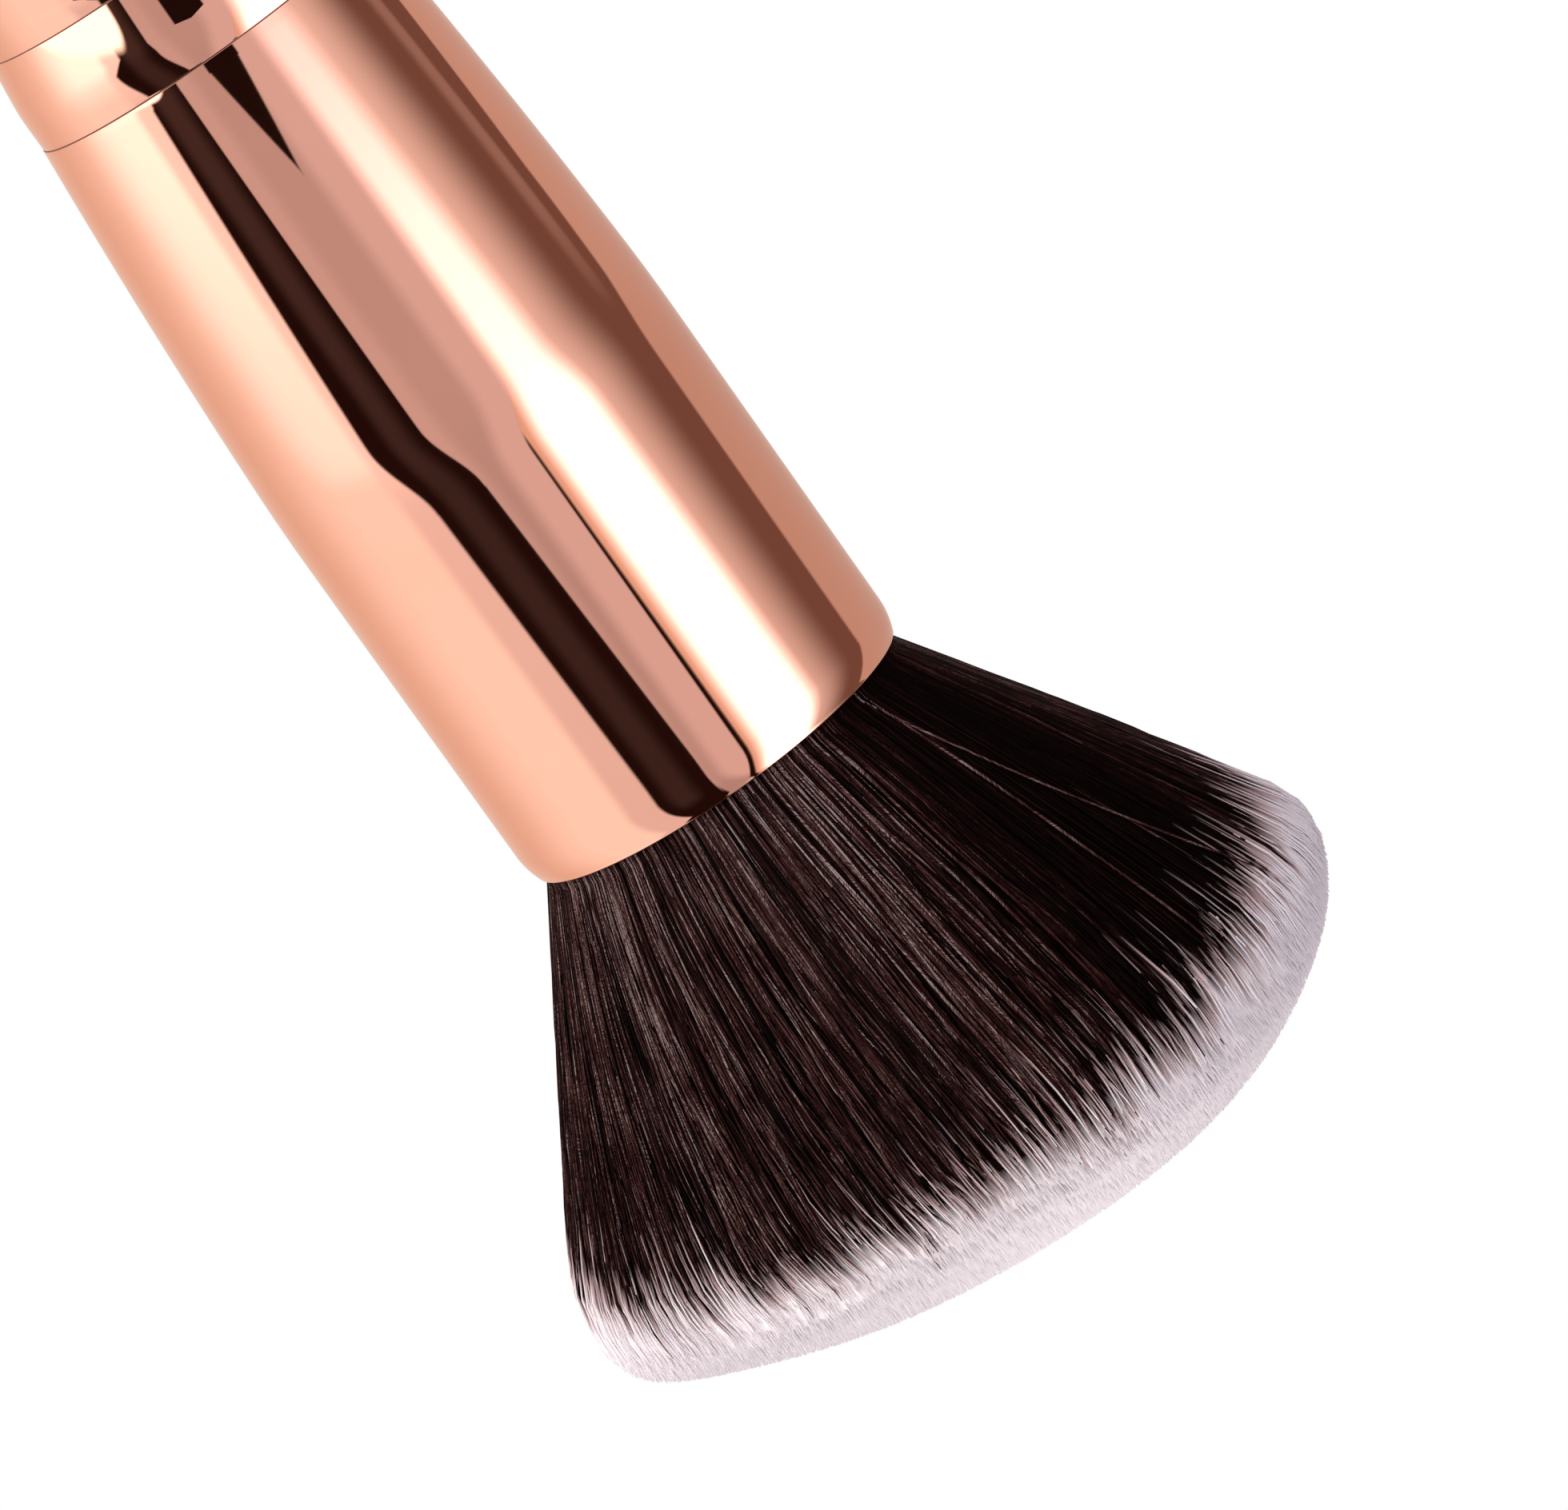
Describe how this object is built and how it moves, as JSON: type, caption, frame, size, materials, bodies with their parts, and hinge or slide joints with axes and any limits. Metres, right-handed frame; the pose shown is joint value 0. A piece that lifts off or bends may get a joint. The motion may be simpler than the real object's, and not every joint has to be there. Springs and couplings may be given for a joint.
{
  "type": "kabuki makeup brush",
  "caption": "Hand-held powder brush with a domed, flared two-tone synthetic bristle head in a long plated ferrule on a short plated handle that stands upright.",
  "frame": {"origin": "centre of the flat base of the handle", "axes": "+Z along the brush axis from the base towards the bristles; X and Y are free, because the brush is round"},
  "size_m": [0.0442, 0.0442, 0.1171],
  "materials": {
    "rose_gold_plate": "polished",
    "beech": "matte",
    "epoxy": "gloss",
    "thread": "matte",
    "dark_filament": "satin",
    "white_filament": "satin"
  },
  "bodies": {
    "handle": {"base_cap": "rose_gold_plate", "handle_shell": "rose_gold_plate", "handle_core": "beech", "collar_ring": "rose_gold_plate", "ferrule": "rose_gold_plate", "glue_plug": "epoxy", "root_binding": "thread", "bristle_root": "dark_filament", "dark_bristles": "dark_filament"},
    "bristle_tip": {"bristle_tips": "white_filament"}
  },
  "joints": [
    {"name": "bristle_press", "type": "slide", "parent": "handle", "child": "bristle_tip", "axis": [0, 0, -1], "range_m": [0, 0.006], "stiffness_N_per_m": 250, "deforming": ["dark_bristles"]}
  ]
}
